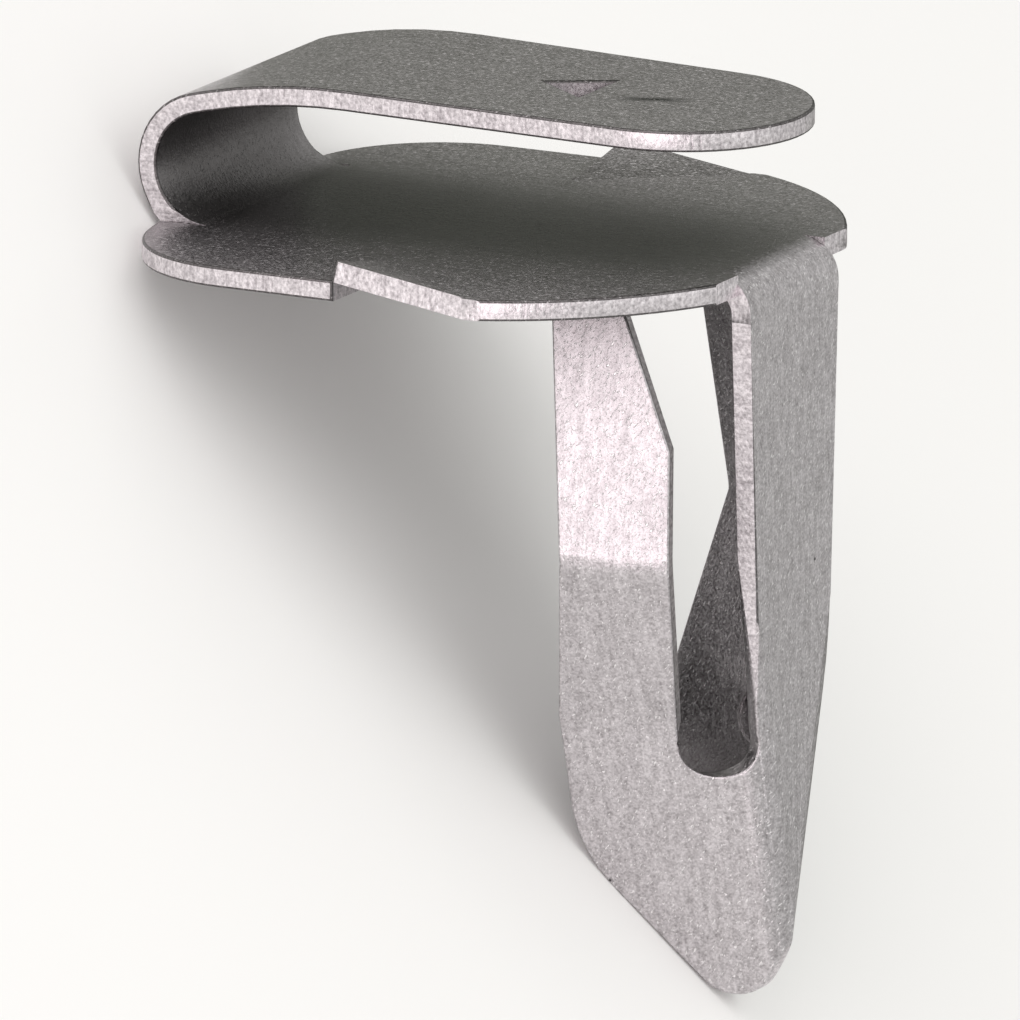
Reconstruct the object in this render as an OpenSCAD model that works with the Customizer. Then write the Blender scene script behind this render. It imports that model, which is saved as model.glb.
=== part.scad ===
// One-piece panel clip folded from spring steel sheet: a jaw that grips a panel edge and a pronged leg.

/* [Main sizes] */
// head length from the jaw bend to the outer face of the leg web
head_len = 15.75; // [14.5:0.05:17]
// leg length from the top of the plate to the point where the lower edges and the nose edges would meet
leg_len = 18.75; // [18:0.05:20]
// thickness of the sheet
sheet = 0.5; // [0.4:0.05:0.6]
// clear width of the sheared cuts beside the jaw bend and around the tongue prong
relief = 0.1; // [0.08:0.02:0.2]

/* [Head plate] */
// radius of the round end of the plate
plate_r = 7.92; // [7.7:0.02:8.4]
// how far the rim stops short of the outer face of the web
rim_set = 0.35; // [0.3:0.05:0.6]
// half width across the straight sides of the plate
plate_half_w = 7.3; // [7:0.05:7.5]
// half width across the ears beside the jaw bend
ear_half_w = 7.15; // [6.9:0.05:7.3]
// corner radius of the ears
ear_r = 3.5; // [2.6:0.1:3.5]
// how far the ears stop short of the outside of the jaw bend
ear_set = 0.7; // [0.4:0.02:0.9]

/* [Plate barbs] */
// distance of the barb slits from the centre of the round end, toward the jaw bend
slit_x = 0.95; // [0.5:0.05:2]
// half distance between the inner ends of the two slits
slit_in = 4.7; // [4.4:0.05:5.2]
// where each barb's bend line meets the rim, from the centre of the round end
barb_x = 2.6; // [2:0.05:3]
// upward bend of each barb
barb_deg = 14; // [5:0.5:20]

/* [Jaw] */
// inside radius of the jaw bend
jaw_r = 1.35; // [1.1:0.05:1.7]
// rise of the tongue where it leaves the jaw bend
crown_deg = 14.8; // [8:0.2:18]
// outer radius of the arched part of the tongue
crown_r = 15; // [10:0.5:18]
// fall of the straight part of the tongue
fall_deg = 1.2; // [0.5:0.1:3]
// width of the tongue at the jaw bend
tongue_w = 7; // [6:0.1:8]
// width of the tongue at its round end
tongue_end_w = 6.5; // [5.6:0.1:7.6]
// how far the tongue reaches past the outer face of the web
tongue_over = 0.12; // [0:0.02:0.4]
// distance of the tongue prong's root from the centre of the round end
prong_x = 2.3; // [1.5:0.1:3]
// length of the tongue prong
prong_len = 1.3; // [0.9:0.05:1.6]
// width of the tongue prong at its root
prong_w = 1.7; // [1.2:0.05:2.2]
// downward bend of the tongue prong
prong_deg = 30; // [20:1:40]

/* [Web] */
// distance of the web's outer face from the centre of the round end
web_x = 7.55; // [7.4:0.05:7.7]
// inside radius of the bend between plate and web
web_bend_r = 0.45; // [0.3:0.05:0.7]
// web width at the plate
web_w = 4.45; // [4.2:0.05:4.7]
// web width at the slot bottoms
web_low_w = 3.34; // [3.2:0.02:3.5]

/* [Prow] */
// outward splay of each side in plan
splay_deg = 16; // [13:0.5:19]
// slant of each fold line from the upright
fold_deg = 15; // [14:0.5:16]
// inside radius of the folds
fold_r = 0.35; // [0.25:0.05:0.5]
// distance from the web's outer face to the free edge of each side
side_len = 4.65; // [4.4:0.05:4.9]
// height of the corner on the free edge above the leg's end
corner_up = 4.3; // [4.1:0.05:4.6]
// radius of that corner
corner_r = 3.5; // [2:0.1:4]
// slant of the lower edge from level
lower_deg = 52; // [48:1:54]
// slant of the nose edge from level
nose_deg = 60; // [56:1:64]
// radius of the tip
tip_r = 0.92; // [0.7:0.02:1.1]

/* [Fingers] */
// height of the slot bottoms' centres above the leg's end
slot_up = 7.2; // [7:0.05:7.25]
// radius of the slot bottoms
slot_r = 0.8; // [0.7:0.02:0.84]
// direction of the slot cut from the web's normal
slot_deg = 37; // [30:1:44]
// height of the finger roots above the leg's end
root_up = 7.8; // [7.8:0.05:8.2]
// radius of the gentle bend at the finger roots
root_r = 10; // [6:0.5:10]
// height of the finger knees above the leg's end
knee_up = 11.85; // [11.4:0.05:12.4]
// depth of the finger tops below the top of the plate
top_z = 0.95; // [0.8:0.05:1.3]
// outward lean of the fingers below the knee
flare_deg = 20.6; // [18:0.2:22]
// inward lean of the fingers above the knee
lean_deg = 7.8; // [4:0.2:10]
// inside radius of the knee
knee_r = 0.6; // [0.3:0.1:1]
// finger free edge at the knee, from the web's outer face
finger_far = 3.9; // [3.7:0.05:4.2]
// finger free edge at the top, from the web's outer face
finger_top_far = 4.45; // [4.2:0.05:4.7]
// finger slot edge at the root, from the web's outer face
finger_root_near = 1.9; // [1.85:0.05:2.1]
// finger slot edge at the knee, from the web's outer face
finger_near = 1.35; // [1.2:0.05:1.5]
// finger slot edge at the foot of its chamfer, from the web's outer face
finger_neck_near = 1.5; // [1.4:0.05:1.7]
// finger slot edge at the top, from the web's outer face
finger_top_near = 2.75; // [2.5:0.05:3.2]
// height of the chamfer along the slot edge
chamfer_h = 3.2; // [2:0.1:4]

/* [Hidden] */
$fn = 96;
big = 60;
// overlap of neighbouring stretches of the same sheet
lap = 0.2;
bend_out = jaw_r + sheet;
bend_x = web_x - head_len + bend_out;
ear_x = web_x - head_len + ear_set;
tongue_r = tongue_end_w / 2;
tongue_end_x = web_x + tongue_over - tongue_r;
web_out = web_bend_r + sheet;
free_x = web_x - side_len;
slot_z = leg_len - slot_up;
root_z = leg_len - root_up;
knee_z = leg_len - knee_up;
// centre of the tongue's arch and the directions of its two ends
crown_a = 90 + crown_deg;
crown_b = 90 - fall_deg;
crown_c = [bend_x, jaw_r] + polar(bend_out - crown_r, crown_a);
// slope of the fold line and the turn of the sheet across it
fold_m = tan(fold_deg);
fold_turn = acos(tan(splay_deg) / sqrt(pow(tan(splay_deg), 2) + 1 + pow(fold_m, 2)));
// level distance from a fold line to the start of its bend
fold_back = (fold_r + sheet) * tan(fold_turn / 2) / cos(fold_deg);
// slope of the web's side edges, and the depth at which the folds reach them
web_m = (web_w - web_low_w) / 2 / (slot_z - web_out);
flat_z = slot_z - (fold_back + lap) / (fold_m - web_m);
// place across the direction of the slot cut, from a place along the head and a half width
function slot_edge(x, half) = sin(slot_deg) * x - cos(slot_deg) * half;
slot_c = slot_edge(web_x, web_low_w / 2 - lap / 8) - slot_r;
// lean of a side, seen along its level direction
side_tilt = atan(cos(splay_deg) * fold_m);
// distance of the outer face of a side from the centre of the round end, along its level normal, at a depth
function side_d(z) = sin(splay_deg) * web_x + cos(splay_deg) * (web_low_w / 2 + fold_m * (slot_z - z));
root_d = side_d(root_z);
knee_d = root_d + (root_z - knee_z) * tan(flare_deg);
// centre of the rounded corner on the free edge, seen along the width
corner_c = [free_x + corner_r, corner_r * tan((90 - lower_deg) / 2) + corner_up - leg_len];
// sharp tip of a side, and the centre of its rounding
tip = [free_x + corner_up / tan(lower_deg), -leg_len];
tip_c = tip + polar(tip_r / sin(90 - (lower_deg + nose_deg) / 2), 90 + (nose_deg - lower_deg) / 2);
// the clip lies on the ends of its ears and on the rounded corners of its two sides, centred along its length
rest_run = corner_c - [ear_x, -sheet];
rest_deg = asin(corner_r / norm(rest_run)) - atan2(rest_run[1], rest_run[0]);
rest_z = sheet * cos(rest_deg) - ear_x * sin(rest_deg);
rest_x = (bend_out - tip_r - (tip_c + [bend_x, jaw_r]) * [cos(rest_deg), -sin(rest_deg)]) / 2;

function polar(r, a) = r * [cos(a), sin(a)];

// sector of a disc from angle a to angle b
module pie(r, a, b) {
    steps = ceil((b - a) / 60);
    intersection() {
        circle(r);
        polygon(concat([[0, 0]], [for (i = [0 : steps]) polar(3 * r, a + (b - a) * i / steps)]));
    }
}

// bent strip from angle a to angle b, with a shallow point on each end that reaches into the next stretch
module bend(r, a, b) {
    steps = ceil((b - a) / 60);
    far = r + sheet;
    point = asin(lap / far);
    fan = [for (i = [0 : steps]) polar(3 * far, a + (b - a) * i / steps)];
    intersection() {
        difference() {
            circle(far);
            circle(r);
        }
        polygon(concat([[0, 0], polar(r, a), polar(r + sheet / 2, a - point), polar(far, a)], fan,
                       [polar(far, b), polar(r + sheet / 2, b + point), polar(r, b)]));
    }
}

// strip with one rounded bend: the outer faces meet at the origin, the first leg lies along -x and the second
// turns down past it
module bent_strip(la, lb, turn, r) {
    back = (r + sheet) * tan(turn / 2);
    translate([-la, -sheet])
        square([la - back, sheet]);
    translate([-back, -r - sheet]) {
        bend(r, 90 - turn, 90);
        rotate(-turn)
            translate([0, r])
                square([lb - back, sheet]);
    }
}

// plan of the lower plate
module plate_plan() {
    difference() {
        union() {
            intersection() {
                circle(plate_r);
                translate([-slit_x, -plate_half_w])
                    square([big, 2 * plate_half_w]);
            }
            for (side = [-1, 1])
                translate([ear_x + ear_r, side * (ear_half_w - ear_r)])
                    circle(ear_r);
            translate([ear_x + ear_r, -ear_half_w])
                square([lap - ear_x - ear_r - slit_x, 2 * ear_half_w]);
            translate([ear_x, ear_r - ear_half_w])
                square([-ear_x, 2 * (ear_half_w - ear_r)]);
        }
        // sheared cuts beside the jaw bend
        translate([-big, -tongue_w / 2 - relief])
            square([big + bend_x, tongue_w + 2 * relief]);
        // straight end of the rim beside the web
        translate([web_x - rim_set, -big])
            square([big, 2 * big]);
        // room for the web bend
        translate([web_x - web_out, lap / 4 - web_w / 2])
            square([big, web_w - lap / 2]);
    }
}

// plan of the front barb, bounded by its slit, its bend line and the rim
module barb_plan() {
    polygon([[-slit_x, -slit_in], [barb_x, -plate_half_w], [barb_x, -plate_half_w - 2],
             [-slit_x, -plate_half_w - 2]]);
}

module barb() {
    turn = atan2(slit_in - plate_half_w, barb_x + slit_x);
    translate([-slit_x, -slit_in, -sheet])
        rotate([0, 0, turn])
            rotate([-barb_deg, 0, 0])
                rotate([0, 0, -turn])
                    translate([slit_x, slit_in, 0])
                        linear_extrude(sheet)
                            intersection() {
                                plate_plan();
                                barb_plan();
                            }
}

module plate() {
    translate([0, 0, -sheet])
        linear_extrude(sheet)
            difference() {
                plate_plan();
                for (flip = [0, 1])
                    mirror([0, flip])
                        barb_plan();
            }
    for (flip = [0, 1])
        mirror([0, flip, 0])
            barb();
}

// side view of the jaw bend and the tongue
module jaw_side() {
    translate([bend_x, -sheet])
        square([1.5, sheet]);
    translate([bend_x, jaw_r])
        bend(jaw_r, crown_a, 270);
    translate(crown_c) {
        bend(crown_r - sheet, crown_b, crown_a);
        rotate(-fall_deg)
            translate([0, crown_r - sheet])
                square([big, sheet]);
    }
}

module tongue_plan() {
    polygon([[-big, -tongue_w / 2], [bend_x, -tongue_w / 2], [tongue_end_x, -tongue_r],
             [tongue_end_x, tongue_r], [bend_x, tongue_w / 2], [-big, tongue_w / 2]]);
    translate([tongue_end_x, 0])
        circle(tongue_r);
}

module prong_plan(gap) {
    half = prong_w / 2 + gap;
    polygon([[prong_x, -half], [prong_x, half], [prong_x - prong_len - 1.5 * gap, 0]]);
}

module jaw() {
    prong_z = crown_c[1] + (crown_r - (prong_x - crown_c[0]) * sin(fall_deg)) / cos(fall_deg);
    difference() {
        intersection() {
            rotate([90, 0, 0])
                linear_extrude(2 * plate_r, center = true)
                    jaw_side();
            linear_extrude(big, center = true)
                tongue_plan();
        }
        translate([0, 0, prong_z - 2])
            linear_extrude(4)
                prong_plan(relief);
    }
    translate([prong_x + lap, 0, prong_z - lap * sin(fall_deg)])
        rotate([0, -prong_deg, 0])
            translate([-prong_x, 0, -sheet])
                linear_extrude(sheet)
                    prong_plan(0);
}

// half width of the web at a depth, and of the part of it that the folds leave flat
function web_half(z) = web_low_w / 2 + web_m * (slot_z - z);
function flat_half(z) = web_low_w / 2 + fold_m * (slot_z - z) - fold_back - lap;

// plate bend and flat web
module web() {
    rotate([90, 0, 0])
        linear_extrude(web_w, center = true)
            translate([web_x, 0])
                bent_strip(web_out + 1, web_out + lap, 90, web_bend_r);
    translate([web_x - sheet, 0, 0])
        rotate([90, 0, 90])
            linear_extrude(sheet)
                polygon([[-web_w / 2, -web_out], [web_w / 2, -web_out], [web_half(flat_z), -flat_z],
                         [flat_half(slot_z + lap), -slot_z - lap], [-flat_half(slot_z + lap), -slot_z - lap],
                         [-web_half(flat_z), -flat_z]]);
}

// outline of the part of the web that the fold takes in above the slot, seen along the head
module web_edge() {
    polygon([[0, -flat_z], [-web_half(flat_z), -flat_z], [-web_low_w / 2, -slot_z],
             [-web_low_w / 2, -slot_z - lap / 2], [0, -slot_z - lap / 2]]);
}

// outline of a side below the slot, seen along the width of the clip
module side_outline() {
    nose = tip + polar(side_len, nose_deg);
    polygon([[free_x, -slot_z], [free_x, corner_c[1]], corner_c + polar(corner_r, 270 - lower_deg),
             tip_c + polar(tip_r, 270 - lower_deg), tip_c + polar(tip_r, 270 + nose_deg), nose,
             [nose[0], -slot_z]]);
    translate(corner_c)
        pie(corner_r, 180, 270 - lower_deg);
    translate(tip_c)
        pie(tip_r, 270 - lower_deg, 270 + nose_deg);
}

// outline of a finger's free edge and top, seen along the width of the clip
module finger_outline() {
    polygon([[free_x, -slot_z - lap], [free_x, -root_z], [web_x - finger_far, -knee_z],
             [web_x - finger_top_far, -top_z], [web_x, -top_z], [web_x, -slot_z - lap]]);
}

// place along a side, from a distance behind the web's outer face and a level distance outward
function along_side(back, d) = (web_x - back - sin(splay_deg) * d) / cos(splay_deg);

// level distance outward of a finger at a depth above its knee
function lean_d(z) = knee_d - (knee_z - z) * tan(lean_deg);

// outline of a finger's slot edge, seen square to the side
module finger_edge() {
    neck_z = top_z + chamfer_h;
    top = along_side(finger_top_near, lean_d(top_z));
    foot = along_side(finger_root_near, root_d);
    polygon([[-plate_r, 0], [top, 0], [top, -top_z], [along_side(finger_neck_near, lean_d(neck_z)), -neck_z],
             [along_side(finger_near, knee_d), -knee_z], [foot, -root_z], [foot, -slot_z - 2 * lap],
             [-plate_r, -slot_z - 2 * lap]]);
}

module along_width() {
    rotate([90, 0, 0])
        linear_extrude(2 * plate_r)
            children();
}

// section of a finger and of the top of its side: level distance outward, height
module finger_section() {
    turn = flare_deg - side_tilt;
    mean = (side_tilt + flare_deg) / 2;
    translate([root_d, -root_z] + sheet / cos(turn / 2) * [-cos(mean), sin(mean)])
        rotate(90 - side_tilt)
            bent_strip(7 * lap, 6 * lap, turn, root_r);
    translate([knee_d, -knee_z])
        rotate(90 - flare_deg)
            mirror([0, 1])
                bent_strip((root_z - knee_z) / cos(flare_deg) - 4 * lap, root_z, flare_deg + lean_deg, knee_r);
}

// outline of the slot cut from the centre of its round bottom
module slot_plan() {
    rise = slot_z - flat_z;
    circle(slot_r);
    polygon([[-slot_r / 2, 0], [slot_r - lap / 8, 0],
             [slot_edge(web_x - sheet, web_half(flat_z)) - slot_c, rise], [-slot_r / 2, rise]]);
}

module side() {
    difference() {
        union() {
            // lower side and half of the folded web
            intersection() {
                translate([web_x, -web_low_w / 2, -slot_z])
                    rotate([fold_deg, 0, 0])
                        rotate([0, 0, -90])
                            linear_extrude(leg_len, center = true)
                                bent_strip(web_w, 2 * side_len, fold_turn, fold_r);
                union() {
                    along_width()
                        side_outline();
                    rotate([90, 0, 90])
                        linear_extrude(big)
                            web_edge();
                }
            }
            // finger
            intersection() {
                rotate([0, 0, splay_deg - 90])
                    rotate([90, 0, 0])
                        linear_extrude(big, center = true)
                            finger_section();
                along_width()
                    finger_outline();
                rotate([0, 0, splay_deg])
                    along_width()
                        finger_edge();
            }
        }
        // round slot bottom and the web's edge above it, cut along the mean of the web and side normals
        rotate([0, 0, -slot_deg])
            translate([0, slot_c, -slot_z])
                rotate([90, 0, 90])
                    linear_extrude(big)
                        slot_plan();
    }
}

module trim_clip() {
    color([0.55, 0.55, 0.54])
        translate([rest_x, 0, rest_z])
            rotate([0, -rest_deg, 0]) {
                plate();
                jaw();
                web();
                for (flip = [0, 1])
                    mirror([0, flip, 0])
                        side();
            }
}

trim_clip();
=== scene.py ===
import math

import bpy
from mathutils import Matrix, Vector


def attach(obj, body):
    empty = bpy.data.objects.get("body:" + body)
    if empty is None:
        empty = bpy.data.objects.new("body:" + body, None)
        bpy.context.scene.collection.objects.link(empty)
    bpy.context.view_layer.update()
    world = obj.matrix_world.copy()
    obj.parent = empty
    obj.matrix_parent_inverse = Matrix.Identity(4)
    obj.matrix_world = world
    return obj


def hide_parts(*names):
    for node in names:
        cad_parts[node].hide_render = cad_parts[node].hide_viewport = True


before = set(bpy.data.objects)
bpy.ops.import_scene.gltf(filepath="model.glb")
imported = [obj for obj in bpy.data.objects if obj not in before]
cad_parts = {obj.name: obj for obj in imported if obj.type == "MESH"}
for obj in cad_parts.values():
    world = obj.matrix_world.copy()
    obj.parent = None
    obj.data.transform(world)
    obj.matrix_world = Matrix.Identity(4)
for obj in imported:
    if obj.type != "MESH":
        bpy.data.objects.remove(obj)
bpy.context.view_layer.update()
print("frame loaded:", sorted(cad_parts))

# the clip lies on its ears and leg corners; turned back by this angle (shift in mm) its plate
# is level and its leg hangs down. Places in mm below are given for the clip in that position
lying = {"turn": 53.2133, "shift": (-5.78392, 0.0, 6.30595)}
layTurn = Matrix.Rotation(-math.radians(lying["turn"]), 4, "Y")
layDown = Matrix.Translation(Vector(lying["shift"])) @ layTurn
standUp = layDown.inverted()


def linear(hexCode):
    colour = []
    for i in (1, 3, 5):
        c = int(hexCode[i:i + 2], 16) / 255
        colour.append(c / 12.92 if c <= 0.04045 else ((c + 0.055) / 1.055) ** 2.4)
    return (*colour, 1.0)


def addNode(tree, kind, settings=None, inputs=None):
    node = tree.nodes.new(kind)
    for key, value in (settings or {}).items():
        setattr(node, key, value)
    for key, value in (inputs or {}).items():
        if isinstance(value, bpy.types.NodeSocket):
            tree.links.new(value, node.inputs[key])
        else:
            node.inputs[key].default_value = value
    return node


# spring steel sheet, rolled and then barrel tumbled: a dull grey skin of fine dents that sparkles
# where the light is in front of it, faint streaks along the strip, short bright nicks, a few dark
# pits and a rub mark on the tongue. Painted shade: where the clip's own steel closes round a spot,
# inside the jaw and the leg, the colour is darkened. Real dents are about 0.02 mm wide; the grain
# is drawn coarser so that it shows
tumbled = {
    "name": "tumbled_spring_steel",
    "dark": "#928d8f", "pale": "#e2dde0", "toneFrom": (0.62, 1.28),
    "roughness": (0.28, 0.44), "roughFrom": (0.3, 0.7),
    "grainMm": 0.065, "grainDepthMm": 0.011,
    "mottleMm": 0.22, "mottleDepthMm": 0.014, "mottleShare": 0.5,
    "streakMm": (1.6, 0.16), "streakShare": 0.4,
    "nickMm": (0.16, 0.06), "nickDepthMm": 0.010, "nick": "#f2eff0",
    "nickTurn": 0.6, "nickFrom": (0.67, 0.75), "nickStrength": 0.85,  # turn in radians
    "pitEveryMm": 1.5, "pitMm": 0.055, "pitDepthMm": 0.02, "pit": "#4c494a", "raggedMm": 0.06,
    "scuff": {"at": (3.98, -0.25, 3.5), "turn": 25.4, "halfMm": (0.92, 0.24, 0.3)},
    "scuffed": "#2f2d2e", "scuffFade": (0.2, 1.1), "scuffFrom": (0.58, 0.74),
    # painted shade of the recesses: how far the clip looks for its own steel, the shade colour, the
    # occlusion range mapped to it and how dark it gets
    "paintedShadeReachMm": 6.0, "paintedShadeColour": "#575454", "paintedShadeFrom": (0.36, 0.9), "paintedShadeStrength": 0.95,
    "paintedShadeRays": 8,
}


def tumbledSteel(look):
    material = bpy.data.materials.new(look["name"])
    material.use_nodes = True
    tree = material.node_tree
    shader = tree.nodes["Principled BSDF"]
    shader.inputs["Metallic"].default_value = 1.0
    place = addNode(tree, "ShaderNodeTexCoord").outputs["Object"]
    strip = addNode(tree, "ShaderNodeUVMap", {"uv_map": "stripRun"}).outputs["UV"]
    grain = addNode(tree, "ShaderNodeTexNoise", None, {
        "Vector": place, "Scale": 1000 / look["grainMm"], "Detail": 2.0, "Roughness": 0.6})
    mottle = addNode(tree, "ShaderNodeTexNoise", None, {
        "Vector": place, "Scale": 1000 / look["mottleMm"], "Detail": 3.0, "Roughness": 0.6})
    streakPlace = addNode(tree, "ShaderNodeMapping", {"vector_type": "TEXTURE"}, {
        "Vector": strip, "Scale": (*look["streakMm"], 1.0)})
    streak = addNode(tree, "ShaderNodeTexNoise", {"noise_dimensions": "2D"}, {
        "Vector": streakPlace.outputs["Vector"], "Scale": 1.0, "Detail": 3.0, "Roughness": 0.6})
    nickPlace = addNode(tree, "ShaderNodeMapping", {"vector_type": "TEXTURE"}, {
        "Vector": strip, "Rotation": (0.0, 0.0, look["nickTurn"]),
        "Scale": (*look["nickMm"], 1.0)})
    nickNoise = addNode(tree, "ShaderNodeTexNoise", {"noise_dimensions": "2D"}, {
        "Vector": nickPlace.outputs["Vector"], "Scale": 1.0, "Detail": 1.0, "Roughness": 0.5})
    nick = addNode(tree, "ShaderNodeMapRange", None, {
        "Value": nickNoise.outputs["Fac"], "From Min": look["nickFrom"][0],
        "From Max": look["nickFrom"][1], "To Max": look["nickStrength"]})
    ragged = addNode(tree, "ShaderNodeVectorMath", {"operation": "MULTIPLY_ADD"}, {
        0: grain.outputs["Color"], 1: [look["raggedMm"] / 1000] * 3, 2: place})
    pits = addNode(tree, "ShaderNodeTexVoronoi", {"feature": "F1"}, {
        "Vector": ragged.outputs["Vector"], "Scale": 1000 / look["pitEveryMm"]})
    pit = addNode(tree, "ShaderNodeMapRange", None, {
        "Value": pits.outputs["Distance"], "From Min": 0.5 * look["pitMm"] / look["pitEveryMm"],
        "From Max": look["pitMm"] / look["pitEveryMm"], "To Min": 1.0, "To Max": 0.0})
    soft = addNode(tree, "ShaderNodeMath", {"operation": "MULTIPLY_ADD"}, {
        0: mottle.outputs["Fac"], 1: look["mottleShare"], 2: grain.outputs["Fac"]})
    mark = look["scuff"]
    markTurn = layDown.to_3x3() @ Matrix.Rotation(math.radians(mark["turn"]), 3, "Z")
    markPlace = addNode(tree, "ShaderNodeMapping", {"vector_type": "TEXTURE"}, {
        "Vector": ragged.outputs["Vector"], "Location": (layDown @ Vector(mark["at"])) / 1000,
        "Rotation": markTurn.to_euler(), "Scale": [size / 1000 for size in mark["halfMm"]]})
    markSides = addNode(tree, "ShaderNodeVectorMath", {"operation": "ABSOLUTE"}, {
        0: markPlace.outputs["Vector"]})
    markParts = addNode(tree, "ShaderNodeSeparateXYZ", None, {
        "Vector": markSides.outputs["Vector"]})
    markFlat = addNode(tree, "ShaderNodeMath", {"operation": "MAXIMUM"}, {
        0: markParts.outputs["X"], 1: markParts.outputs["Y"]})
    markFar = addNode(tree, "ShaderNodeMath", {"operation": "MAXIMUM"}, {
        0: markFlat.outputs[0], 1: markParts.outputs["Z"]})
    markMask = addNode(tree, "ShaderNodeMapRange", None, {
        "Value": markFar.outputs[0], "From Min": look["scuffFade"][0],
        "From Max": look["scuffFade"][1], "To Min": 1.0, "To Max": 0.0})
    broken = addNode(tree, "ShaderNodeMapRange", None, {
        "Value": soft.outputs[0], "From Min": look["scuffFrom"][0],
        "From Max": look["scuffFrom"][1]})
    scuff = addNode(tree, "ShaderNodeMath", {"operation": "MULTIPLY"}, {
        0: markMask.outputs[0], 1: broken.outputs[0]})
    # tone: mostly grain, then mottle and streaks
    whole = addNode(tree, "ShaderNodeMath", {"operation": "MULTIPLY_ADD"}, {
        0: streak.outputs["Fac"], 1: look["streakShare"], 2: soft.outputs[0]})
    tone = addNode(tree, "ShaderNodeMapRange", None, {
        "Value": whole.outputs[0], "From Min": look["toneFrom"][0],
        "From Max": look["toneFrom"][1]})
    skin = addNode(tree, "ShaderNodeMix", {"data_type": "RGBA"}, {
        "Factor": tone.outputs[0], "A": linear(look["dark"]), "B": linear(look["pale"])})
    # painted shade: occlusion by the clip's own steel darkens the colour towards a dark grey
    shadeOcclusion = addNode(tree, "ShaderNodeAmbientOcclusion", {
        "only_local": True, "samples": look["paintedShadeRays"]}, {"Distance": look["paintedShadeReachMm"] / 1000})
    paintedShadeMask = addNode(tree, "ShaderNodeMapRange", None, {
        "Value": shadeOcclusion.outputs["AO"], "From Min": look["paintedShadeFrom"][0],
        "From Max": look["paintedShadeFrom"][1], "To Min": look["paintedShadeStrength"], "To Max": 0.0})
    nicked = addNode(tree, "ShaderNodeMix", {"data_type": "RGBA"}, {
        "Factor": nick.outputs[0], "A": skin.outputs["Result"], "B": linear(look["nick"])})
    paintedShadeMix = addNode(tree, "ShaderNodeMix", {"data_type": "RGBA"}, {
        "Factor": paintedShadeMask.outputs[0], "A": nicked.outputs["Result"], "B": linear(look["paintedShadeColour"])})
    rubbed = addNode(tree, "ShaderNodeMix", {"data_type": "RGBA"}, {
        "Factor": scuff.outputs[0], "A": paintedShadeMix.outputs["Result"], "B": linear(look["scuffed"])})
    pitted = addNode(tree, "ShaderNodeMix", {"data_type": "RGBA"}, {
        "Factor": pit.outputs[0], "A": rubbed.outputs["Result"], "B": linear(look["pit"])})
    tree.links.new(pitted.outputs["Result"], shader.inputs["Base Color"])
    rough = addNode(tree, "ShaderNodeMapRange", None, {
        "Value": grain.outputs["Fac"],
        "From Min": look["roughFrom"][0], "From Max": look["roughFrom"][1],
        "To Min": look["roughness"][0], "To Max": look["roughness"][1]})
    tree.links.new(rough.outputs[0], shader.inputs["Roughness"])
    dents = addNode(tree, "ShaderNodeBump", None, {
        "Strength": 1.0, "Distance": look["mottleDepthMm"] / 1000, "Height": mottle.outputs["Fac"]})
    sparkle = addNode(tree, "ShaderNodeBump", None, {
        "Strength": 1.0, "Distance": look["grainDepthMm"] / 1000, "Height": grain.outputs["Fac"],
        "Normal": dents.outputs["Normal"]})
    scored = addNode(tree, "ShaderNodeBump", {"invert": True}, {
        "Strength": 1.0, "Distance": look["nickDepthMm"] / 1000, "Height": nick.outputs[0],
        "Normal": sparkle.outputs["Normal"]})
    pocked = addNode(tree, "ShaderNodeBump", {"invert": True}, {
        "Strength": 1.0, "Distance": look["pitDepthMm"] / 1000, "Height": pit.outputs[0],
        "Normal": scored.outputs["Normal"]})
    tree.links.new(pocked.outputs["Normal"], shader.inputs["Normal"])
    return material


# the skin darkened for the rounded edges of the head: a painted thin dark line that stands in for
# the dark reflection along them
paintedDarkEdgeLine = dict(tumbled, name="painted_dark_edge_line_steel",
                  dark="#3f3c3c", pale="#7d797a", nick="#a9a5a6")

# the same steel where the press sheared it: brighter and rougher, with lines running through the
# thickness. Real shear lines are a few hundredths of a mm wide; drawn coarser so that they show
sheared = {
    "name": "sheared_steel_edge",
    "dark": "#a49da1", "pale": "#f4eef1", "toneFrom": (0.5, 1.05),
    "roughness": (0.34, 0.5), "roughFrom": (0.3, 0.7),
    "lineMm": (0.11, 0.5), "lineDepthMm": 0.010, "lineShare": 0.6,
    "grainMm": 0.085, "grainDepthMm": 0.012,
}


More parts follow.
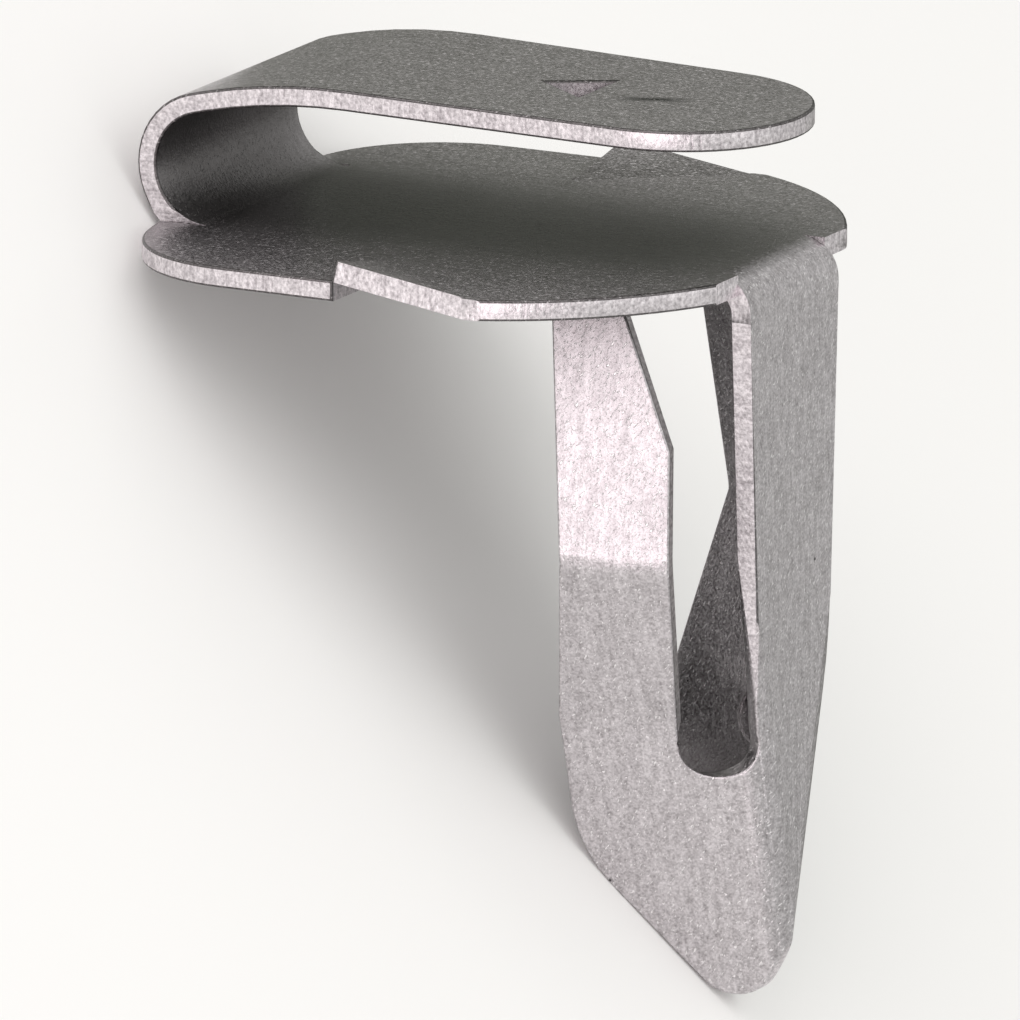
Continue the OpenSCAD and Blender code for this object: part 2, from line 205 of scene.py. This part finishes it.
def shearedSteel(look):
    material = bpy.data.materials.new(look["name"])
    material.use_nodes = True
    tree = material.node_tree
    shader = tree.nodes["Principled BSDF"]
    shader.inputs["Metallic"].default_value = 1.0
    place = addNode(tree, "ShaderNodeTexCoord").outputs["Object"]
    run = addNode(tree, "ShaderNodeUVMap", {"uv_map": "stripRun"}).outputs["UV"]
    spread = addNode(tree, "ShaderNodeMapping", {"vector_type": "TEXTURE"}, {
        "Vector": run, "Scale": (*look["lineMm"], 1.0)})
    lines = addNode(tree, "ShaderNodeTexNoise", {"noise_dimensions": "2D"}, {
        "Vector": spread.outputs["Vector"], "Scale": 1.0, "Detail": 2.0, "Roughness": 0.6})
    grain = addNode(tree, "ShaderNodeTexNoise", None, {
        "Vector": place, "Scale": 1000 / look["grainMm"], "Detail": 2.0, "Roughness": 0.6})
    both = addNode(tree, "ShaderNodeMath", {"operation": "MULTIPLY_ADD"}, {
        0: lines.outputs["Fac"], 1: look["lineShare"], 2: grain.outputs["Fac"]})
    tone = addNode(tree, "ShaderNodeMapRange", None, {
        "Value": both.outputs[0], "From Min": look["toneFrom"][0],
        "From Max": look["toneFrom"][1]})
    colour = addNode(tree, "ShaderNodeMix", {"data_type": "RGBA"}, {
        "Factor": tone.outputs[0], "A": linear(look["dark"]), "B": linear(look["pale"])})
    tree.links.new(colour.outputs["Result"], shader.inputs["Base Color"])
    rough = addNode(tree, "ShaderNodeMapRange", None, {
        "Value": grain.outputs["Fac"],
        "From Min": look["roughFrom"][0], "From Max": look["roughFrom"][1],
        "To Min": look["roughness"][0], "To Max": look["roughness"][1]})
    tree.links.new(rough.outputs[0], shader.inputs["Roughness"])
    ridges = addNode(tree, "ShaderNodeBump", None, {
        "Strength": 1.0, "Distance": look["lineDepthMm"] / 1000, "Height": lines.outputs["Fac"]})
    torn = addNode(tree, "ShaderNodeBump", None, {
        "Strength": 1.0, "Distance": look["grainDepthMm"] / 1000, "Height": grain.outputs["Fac"],
        "Normal": ridges.outputs["Normal"]})
    tree.links.new(torn.outputs["Normal"], shader.inputs["Normal"])
    return material


clipPiece = {
    "mergeMm": 0.001, "sliverMm": 0.002, "flatAngle": 0.6,  # cleaning of the copied mesh
    "sheetMm": 0.5, "sheetAllow": 1.3, "probeMm": 0.02,  # steel this thick behind a face is skin
    "edgeRoundMm": 0.06, "edgeSegments": 3, "sharpAngle": 28, "smoothAngle": 32,
    "headFloor": -0.7,  # the head is above this, the leg below
    "jawBend": (-6.35, 1.35), "jawMidMm": 1.6, "jawFloor": -0.55,  # bend's centre is x, z
    "webFrom": 6.9, "splay": 16, "facing": 0.7,  # facing: normals this far along an axis face it
    # boxes round the relief cuts and the barb's fold ends on one side; the other side has the same
    "cuts": [((6.3, 2.1, -1.3), (8.0, 2.4, 0.1)), ((-8.5, 3.1, -0.6), (-6.0, 3.7, 0.15)),
             ((2.4, 7.0, -0.6), (2.8, 7.4, 0.1)), ((-1.1, 4.5, -0.6), (-0.7, 4.9, 0.1))],
}


def buildClip(values):
    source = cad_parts["trim_clip"]
    clip = bpy.data.objects.new("clip_sheet", source.data.copy())
    bpy.context.scene.collection.objects.link(clip)
    bpy.ops.object.select_all(action="DESELECT")
    clip.select_set(True)
    bpy.context.view_layer.objects.active = clip
    clip.data.materials.clear()
    clip.data.materials.append(tumbledSteel(tumbled))
    clip.data.materials.append(shearedSteel(sheared))
    # third material: the skin darkened into a painted dark line for the head's rounded edges
    clip.data.materials.append(tumbledSteel(paintedDarkEdgeLine))

    # the copied triangles become whole faces again
    bpy.ops.object.mode_set(mode="EDIT")
    bpy.ops.mesh.select_all(action="SELECT")
    bpy.ops.mesh.remove_doubles(threshold=values["mergeMm"] / 1000)
    bpy.ops.mesh.dissolve_degenerate(threshold=values["sliverMm"] / 1000)
    bpy.ops.mesh.dissolve_limited(angle_limit=math.radians(values["flatAngle"]))
    bpy.ops.object.mode_set(mode="OBJECT")

    # patches: faces that run into each other without a sharp edge
    faces = clip.data.polygons
    sharp = math.radians(values["sharpAngle"])
    touching = {}
    for face in faces:
        for key in face.edge_keys:
            touching.setdefault(key, []).append(face.index)
    waiting = set(range(len(faces)))
    patches = []
    while waiting:
        patch = [waiting.pop()]
        for index in patch:
            for key in faces[index].edge_keys:
                for other in touching[key]:
                    bend = faces[index].normal.angle(faces[other].normal)
                    if other in waiting and bend < sharp:
                        waiting.remove(other)
                        patch.append(other)
        patches.append(patch)

    # a patch with one sheet thickness of steel behind most of it is skin, the rest was sheared
    thick = values["sheetMm"] / 1000 * values["sheetAllow"]
    probe = values["probeMm"] / 1000
    for patch in patches:
        vote = 0
        for index in patch:
            start = faces[index].center - faces[index].normal * probe
            hit, point, normal, other = clip.ray_cast(start, -faces[index].normal)
            vote += faces[index].area * (1 if hit and (point - start).length < thick else -1)
        for index in patch:
            faces[index].material_index = 0 if vote > 0 else 1
    shearedCount = sum(face.material_index for face in faces)
    print("patches:", len(patches), "sheared faces:", shearedCount, "of", len(faces))

    # tumbling has taken the sharpness off the edges, all but those in the narrow cuts
    weights = clip.data.attributes.new("bevel_weight_edge", "FLOAT", "EDGE").data
    for edge in clip.data.edges:
        first, second = (faces[index].normal for index in touching[edge.key])
        ends = [standUp @ (clip.data.vertices[v].co * 1000) for v in edge.vertices]
        inCut = any(low[0] < x < high[0] and low[1] < abs(y) < high[1] and low[2] < z < high[2]
                    for low, high in values["cuts"] for x, y, z in ends)
        weights[edge.index].value = 1.0 if first.angle(second) > sharp and not inCut else 0.0
    rounding = clip.modifiers.new("edgeRound", "BEVEL")
    rounding.width = values["edgeRoundMm"] / 1000
    rounding.segments = values["edgeSegments"]
    rounding.limit_method = "WEIGHT"
    # the rounded edges take the third material, the painted dark edge line
    rounding.material = 2
    rounding.use_clamp_overlap = False
    bpy.ops.object.modifier_apply(modifier="edgeRound")
    bpy.ops.object.shade_smooth_by_angle(angle=math.radians(values["smoothAngle"]))
    flats = clip.modifiers.new("flatFaces", "WEIGHTED_NORMAL")
    flats.keep_sharp = True
    bpy.ops.object.modifier_apply(modifier="flatFaces")

    # only the head's edges keep the painted dark line
    for face in clip.data.polygons:
        height = (standUp @ (face.center * 1000)).z
        if face.material_index == 2 and height < values["headFloor"]:
            face.material_index = 0

    # map in mm. Skin: along the strip as it was rolled, then across.
    # Sheared edges: along the edge, then through
    stripMap = clip.data.uv_layers.new(name="stripRun")
    jawX, jawZ = values["jawBend"]
    splay = math.radians(values["splay"])
    facing = values["facing"]
    for face in clip.data.polygons:
        normal = standUp.to_3x3() @ face.normal
        middle = standUp @ (face.center * 1000)
        inJaw = middle.x < jawX and middle.z > values["jawFloor"]
        onLeg = middle.z < values["headFloor"]
        through = Vector((0, 0, 1))
        if inJaw:
            through = Vector((middle.x - jawX, 0, middle.z - jawZ)).normalized()
        elif onLeg and middle.x > values["webFrom"] and abs(normal.y) > facing:
            through = Vector((1, 0, 0))
        elif onLeg:
            through = Vector((math.sin(splay), math.copysign(math.cos(splay), middle.y), 0))
        along = normal.cross(through).normalized()
        for loop in face.loop_indices:
            corner = clip.data.loops[loop].vertex_index
            spot = standUp @ (clip.data.vertices[corner].co * 1000)
            if face.material_index == 1:
                place = (spot.dot(along), spot.dot(through))
            elif inJaw:
                bent = math.atan2(jawX - spot.x, spot.z - jawZ)
                place = (jawX - values["jawMidMm"] * bent, spot.y)
            elif abs(normal.z) > facing:
                place = (spot.x, spot.y)
            else:
                place = (spot.z, spot.y if abs(normal.x) > facing else spot.x)
            stripMap.data[loop].uv = place

    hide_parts("trim_clip")
    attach(clip, "root")
    print("clip:", len(clip.data.polygons), "faces")
    return clip


buildClip(clipPiece)

# pale paper floor in grey air, and two dark flags that only the steel mirrors: one keeps the
# floor's glare off the top of the head, the small one keeps it out of the leg. Metres and degrees
stageSet = {
    "floor": "#f7f6f5", "size": 3.0, "world": "#d8d9d6", "worldPower": 1.0,
    "flags": {
        "head": {"at": (-0.085, 0.087, 0.0208), "turn": (12, 0, 15), "size": (0.20, 0.20),
                 "colour": "#7b7e77"},
        "leg": {"at": (-0.0015, 0.0, 0.0001), "turn": (0, 0, 0), "size": (0.013, 0.004),
                "colour": "#2b2a2a"},
    },
}


def buildStage(values):
    bpy.ops.object.select_all(action="DESELECT")
    bpy.ops.mesh.primitive_plane_add(size=values["size"], location=(0, 0, 0))
    floor = bpy.context.object
    floor.name = "studio_floor"
    paper = bpy.data.materials.new("matt_white_paper")
    paper.use_nodes = True
    shader = paper.node_tree.nodes["Principled BSDF"]
    shader.inputs["Base Color"].default_value = linear(values["floor"])
    shader.inputs["Roughness"].default_value = 0.9
    shader.inputs["Specular IOR Level"].default_value = 0.1
    floor.data.materials.append(paper)

    for name, card in values["flags"].items():
        bpy.ops.object.select_all(action="DESELECT")
        bpy.ops.mesh.primitive_plane_add(size=1.0, location=card["at"])
        flag = bpy.context.object
        flag.name = "flag_" + name
        flag.scale = (*card["size"], 1.0)
        flag.rotation_euler = [math.radians(d) for d in card["turn"]]
        cloth = bpy.data.materials.new("dark_felt_" + name)
        cloth.use_nodes = True
        felt = cloth.node_tree.nodes["Principled BSDF"]
        felt.inputs["Base Color"].default_value = linear(card["colour"])
        felt.inputs["Roughness"].default_value = 1.0
        felt.inputs["Specular IOR Level"].default_value = 0.0
        flag.data.materials.append(cloth)
        for ray in ("camera", "diffuse", "transmission", "volume_scatter", "shadow"):
            setattr(flag, "visible_" + ray, False)

    world = bpy.data.worlds.new("studio_air")
    world.use_nodes = True
    air = world.node_tree.nodes["Background"]
    air.inputs["Color"].default_value = linear(values["world"])
    air.inputs["Strength"].default_value = values["worldPower"]
    bpy.context.scene.world = world
    bpy.context.scene.view_settings.view_transform = "Standard"


buildStage(stageSet)

# soft boxes: where each stands, its size and power in metres and watts; all look at the clip
softBoxes = {
    "front": {"at": (0.03, -0.30, 0.05), "size": (0.20, 0.12), "power": 0.22, "colour": "#fff2f6"},
    "overhead": {"at": (0.05, -0.05, 0.45), "size": (0.45, 0.45), "power": 0.5,
                 "colour": "#ffffff"},
    "left": {"at": (-0.34, -0.18, 0.22), "size": (0.50, 0.40), "power": 0.8, "colour": "#fff8fa"},
}
clipMiddle = Vector((0, 0, 0.007))


def buildLights(boxes):
    for name, box in boxes.items():
        data = bpy.data.lights.new("soft_" + name, "AREA")
        data.shape = "RECTANGLE"
        data.size, data.size_y = box["size"]
        data.energy = box["power"]
        data.color = linear(box["colour"])[:3]
        lamp = bpy.data.objects.new("soft_" + name, data)
        bpy.context.scene.collection.objects.link(lamp)
        lamp.location = box["at"]
        aim = (clipMiddle - lamp.location).to_track_quat("-Z", "Y")
        lamp.rotation_euler = aim.to_euler()


buildLights(softBoxes)

# the photograph's view, given for the clip with its plate level: degrees, and mm across the
# picture. The long lens makes it nearly parallel
photoView = {
    "azimuth": 28.401, "elevation": 13.803, "roll": -0.165,
    "across": 24.133, "centre": (-0.058, -6.774), "sensor": 36, "lens": 1000, "clip": (0.01, 20),
}


def buildCamera(values):
    a, e, r = (math.radians(values[k]) for k in ("azimuth", "elevation", "roll"))
    back = Vector((math.sin(a) * math.cos(e), -math.cos(a) * math.cos(e), math.sin(e)))
    level = Vector((math.cos(a), math.sin(a), 0))
    rise = back.cross(level)
    right = level * math.cos(r) + rise * math.sin(r)
    up = rise * math.cos(r) - level * math.sin(r)
    target = right * values["centre"][0] + up * values["centre"][1]
    data = bpy.data.cameras.new("photo_camera")
    data.sensor_width = values["sensor"]
    data.lens = values["lens"]
    data.clip_start, data.clip_end = values["clip"]
    camera = bpy.data.objects.new("photo_camera", data)
    bpy.context.scene.collection.objects.link(camera)
    distance = values["across"] * data.lens / data.sensor_width
    turn = layDown.to_3x3()
    facing = Matrix((turn @ right, turn @ up, turn @ back)).transposed()
    stand = layDown @ (target + back * distance) / 1000
    camera.matrix_world = Matrix.Translation(stand) @ facing.to_4x4()
    bpy.context.scene.camera = camera


buildCamera(photoView)
print("stage, lights and camera set")
